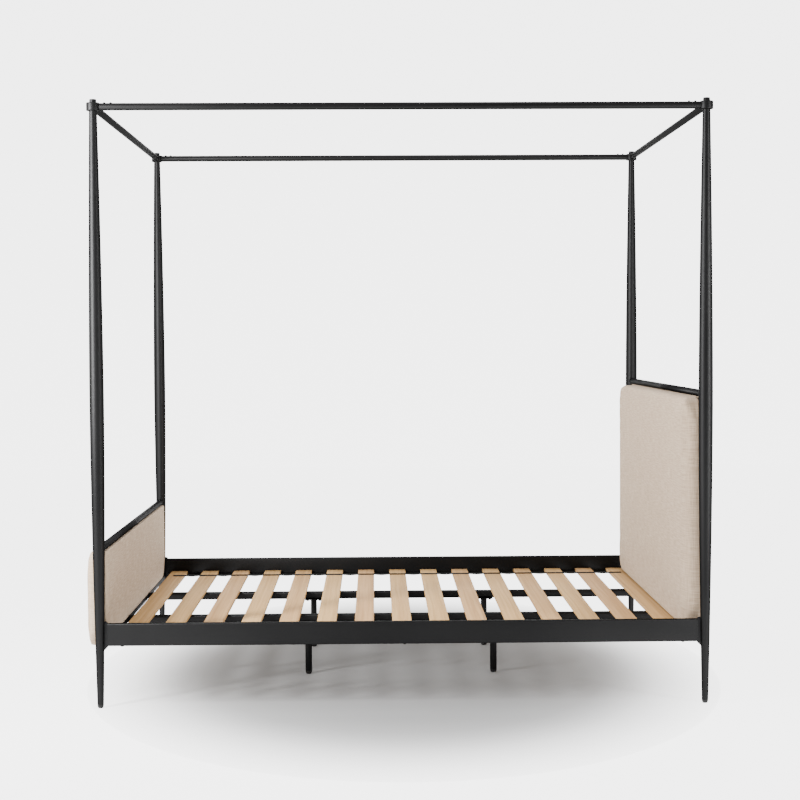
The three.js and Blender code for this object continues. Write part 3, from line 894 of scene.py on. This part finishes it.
bpy.data.objects.remove(first_staple)

# ---- Upholstered boards ------------------------------------------------------------------
# A flat board on the head side of each pair of posts, wrapped in oat linen. The top corners are
# almost square under the tube and the lower ones are round.


def oat_linen():
    """Plain woven linen: crossed threads, thick slubs along both, and soft unevenness."""
    finish = Finish("oat_linen", IOR=1.1, Sheen_Weight=0.04, Sheen_Roughness=0.5)
    x, y, z, point = finish.place()
    normal = finish.tree.nodes.new("ShaderNodeSeparateXYZ")
    finish.tree.links.new(finish.node("TexCoord", output="Normal").socket, normal.inputs[0])
    facing = [abs(Wire(finish.tree, socket)) ** 3 for socket in normal.outputs]
    total = facing[0] + facing[1] + facing[2]
    threads = slubs = 0
    for share, (u, v) in zip(facing, ((y, z), (x, z), (x, y))):
        wobble = finish.noise(finish.point(u * 30, v * 30, 0.0), 1.0, 2)
        weave, cross = (u * 4200 + 2.0 * wobble).sine(), (v * 4200 - 2.0 * wobble).sine()
        lying = finish.noise(finish.point(u * 16, v * 280, 1.0), 1.0, 3)
        standing = finish.noise(finish.point(u * 280, v * 16, 4.0), 1.0, 3)
        threads = threads + share / total * (weave * cross)
        slubs = slubs + share / total * (0.6 * lying + 0.4 * standing)
    cloud = finish.noise(point, 9.0, 3)
    light = finish.mix(cloud, (0.35, 0.268, 0.192), (0.41, 0.318, 0.232))
    hollow = finish.node("Clamp", inputs={"Value": 4.2 * (slubs - 0.5) + 0.4})
    shade = finish.mix(hollow, light, (0.235, 0.17, 0.115))
    fleck = finish.mix((slubs > 0.63) * 0.5, shade, (0.52, 0.42, 0.32))
    relief = finish.bump(0.35 * threads + 1.3 * slubs, 0.0006, 0.55)
    unevenness = finish.bump(finish.noise(point, 14.0, 2), 0.004, 0.18, relief)
    return finish.done(Base_Color=fleck, Roughness=0.82 + 0.12 * slubs, Normal=unevenness)


linen = oat_linen()


def runs_across(a, b):
    """True for an edge that runs along X, through a board's thickness."""
    return abs(a.y - b.y) < 1e-5 and abs(a.z - b.z) < 1e-5


for end in ends:
    node = f"{end}board_panel"
    low, high = (Vector(corner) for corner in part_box(node))
    start_fresh()
    bpy.ops.mesh.primitive_cube_add(size=1)
    board = bpy.context.object
    board.scale = high - low
    board.location = (low + high) / 2
    bpy.ops.object.transform_apply(location=True, scale=True)
    bpy.ops.object.mode_set(mode="EDIT")
    select_edges(board, lambda a, b: runs_across(a, b) and a.z < low.z + 0.01)
    bpy.ops.mesh.bevel(offset=0.09, segments=12, affect="EDGES")
    select_edges(board, lambda a, b: runs_across(a, b) and a.z > high.z - 0.001)
    bpy.ops.mesh.bevel(offset=0.012, segments=5, affect="EDGES")
    bpy.ops.object.mode_set(mode="OBJECT")
    add_modifier(board, "BEVEL", width=0.0028, segments=4, limit_method="ANGLE", angle_limit=math.radians(60))
    put(finish_mesh(board, f"{end}board_covered_board", linen), "linen", node)

# ---- Cushions ----------------------------------------------------------------------------
# A thick foam pad in the same linen on the foot side of each board, crowned, with round corners
# and sides that roll back to the board. The cloth is tight, so it only puckers at the corners.


def puffed(pad, held_beyond, most=0.003):
    """Blows the pad up as cloth, holding its points beyond an x. No point moves more than most."""
    start = [vertex.co.copy() for vertex in pad.data.vertices]
    held = pad.vertex_groups.new(name="against_board")
    held.add([i for i, co in enumerate(start) if co.x > held_beyond], 1, "REPLACE")
    cloth = pad.modifiers.new("cloth", "CLOTH")
    cloth.settings.quality = 4
    cloth.settings.mass = 0.3
    cloth.settings.tension_stiffness = 12
    cloth.settings.compression_stiffness = 12
    cloth.settings.bending_stiffness = 0.8
    cloth.settings.vertex_group_mass = held.name
    cloth.settings.use_pressure = True
    cloth.settings.uniform_pressure_force = 4
    cloth.settings.effector_weights.gravity = 0
    cloth.point_cache.frame_start, cloth.point_cache.frame_end = 1, 20
    for number in range(1, 21):
        bpy.context.scene.frame_set(number)
    blown = pad.evaluated_get(bpy.context.evaluated_depsgraph_get())
    ends_at = [vertex.co.copy() for vertex in blown.data.vertices]
    pad.modifiers.remove(cloth)
    bpy.context.scene.frame_set(1)
    for vertex, first, last in zip(pad.data.vertices, start, ends_at):
        step = last - first
        vertex.co = first + step * min(1.0, most / max(step.length, 1e-9))
    pad.vertex_groups.clear()


def rounded_off(distance, width, least):
    """How thick the pad is at a distance from its edge, as a share of its full thickness."""
    share = min(max(distance / width, 0), 1)
    return least + (1 - least) * math.sqrt(1 - (1 - share) ** 2)


def cushion(node, name, seed):
    """A crowned pad that fills its node's box, thinner at its sides and top, puckered at corners."""
    low, high = (Vector(corner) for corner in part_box(node))
    slack, corner, front_edge, back_edge, voxel = 0.003, 0.096, 0.011, 0.006, 0.0115
    crown_rise, pucker_depth, pucker_reach, pucker_folds = 0.0012, 0.0014, 0.32, 21
    side_rounding, side_thickness, top_rounding, top_thickness = 0.06, 0.42, 0.03, 0.78
    start_fresh()
    bpy.ops.mesh.primitive_cube_add(size=1)
    pad = bpy.context.object
    pad.scale = high - low - Vector((slack, 2 * slack, slack))
    pad.location = (low + high + Vector((slack, 0, 0))) / 2
    bpy.ops.object.transform_apply(location=True, scale=True)
    bpy.ops.object.mode_set(mode="EDIT")
    select_edges(pad, runs_across)
    bpy.ops.mesh.bevel(offset=corner, segments=12, affect="EDGES")
    for facing, offset, segments in ((-1, front_edge, 6), (1, back_edge, 3)):
        select_faces(pad, lambda centre, normal: normal.x * facing > 0.9)
        bpy.ops.mesh.region_to_loop()
        bpy.ops.mesh.bevel(offset=offset, segments=segments, affect="EDGES")
    bpy.ops.object.mode_set(mode="OBJECT")
    add_modifier(pad, "REMESH", mode="VOXEL", voxel_size=voxel)
    puffed(pad, high.x - 0.012)
    luck = random.Random(seed)
    corners_at = [(y, z, luck.uniform(0, 6)) for y in (low.y, high.y) for z in (low.z, high.z)]
    middle = (low + high) / 2
    half = (high - low) / 2
    for vertex in pad.data.vertices:
        co = vertex.co
        crown = max(0, 1 - abs(co.y - middle.y) / half.y) * max(0, 1 - abs(co.z - middle.z) / half.z)
        front = max(0.0, min(1.0, (high.x - co.x) / (high.x - low.x)))
        move = -crown_rise * front * crown ** 0.5
        for y, z, phase in corners_at:
            across, up = co.y - y, co.z - z
            reach = math.hypot(across, up)
            if reach < pucker_reach:
                turn = math.atan2(abs(up), abs(across))
                share = reach / pucker_reach
                pucker = math.sin(turn * pucker_folds + phase) * math.sin(math.pi * share) ** 1.5
                move += pucker_depth * front * pucker * (1 - share)
        co.x += move
    points = [vertex.co for vertex in pad.data.vertices]
    least = Vector([min(co[axis] for co in points) for axis in range(3)])
    most = Vector([max(co[axis] for co in points) for axis in range(3)])
    for co in points:
        for axis in range(3):
            share = (co[axis] - least[axis]) / (most[axis] - least[axis])
            co[axis] = low[axis] + share * (high[axis] - low[axis])
        thinned = rounded_off(half.y - abs(co.y - middle.y), side_rounding, side_thickness)
        thinned *= rounded_off(high.z - co.z, top_rounding, top_thickness)
        co.x = high.x - (high.x - co.x) * thinned
    add_modifier(pad, "SUBSURF", levels=1)
    finish_mesh(pad, name, linen, smooth=80)
    put(pad, "linen", node)


cushion("headboard_cushion", "headboard_pad", 3)
cushion("footboard_cushion", "footboard_pad", 8)
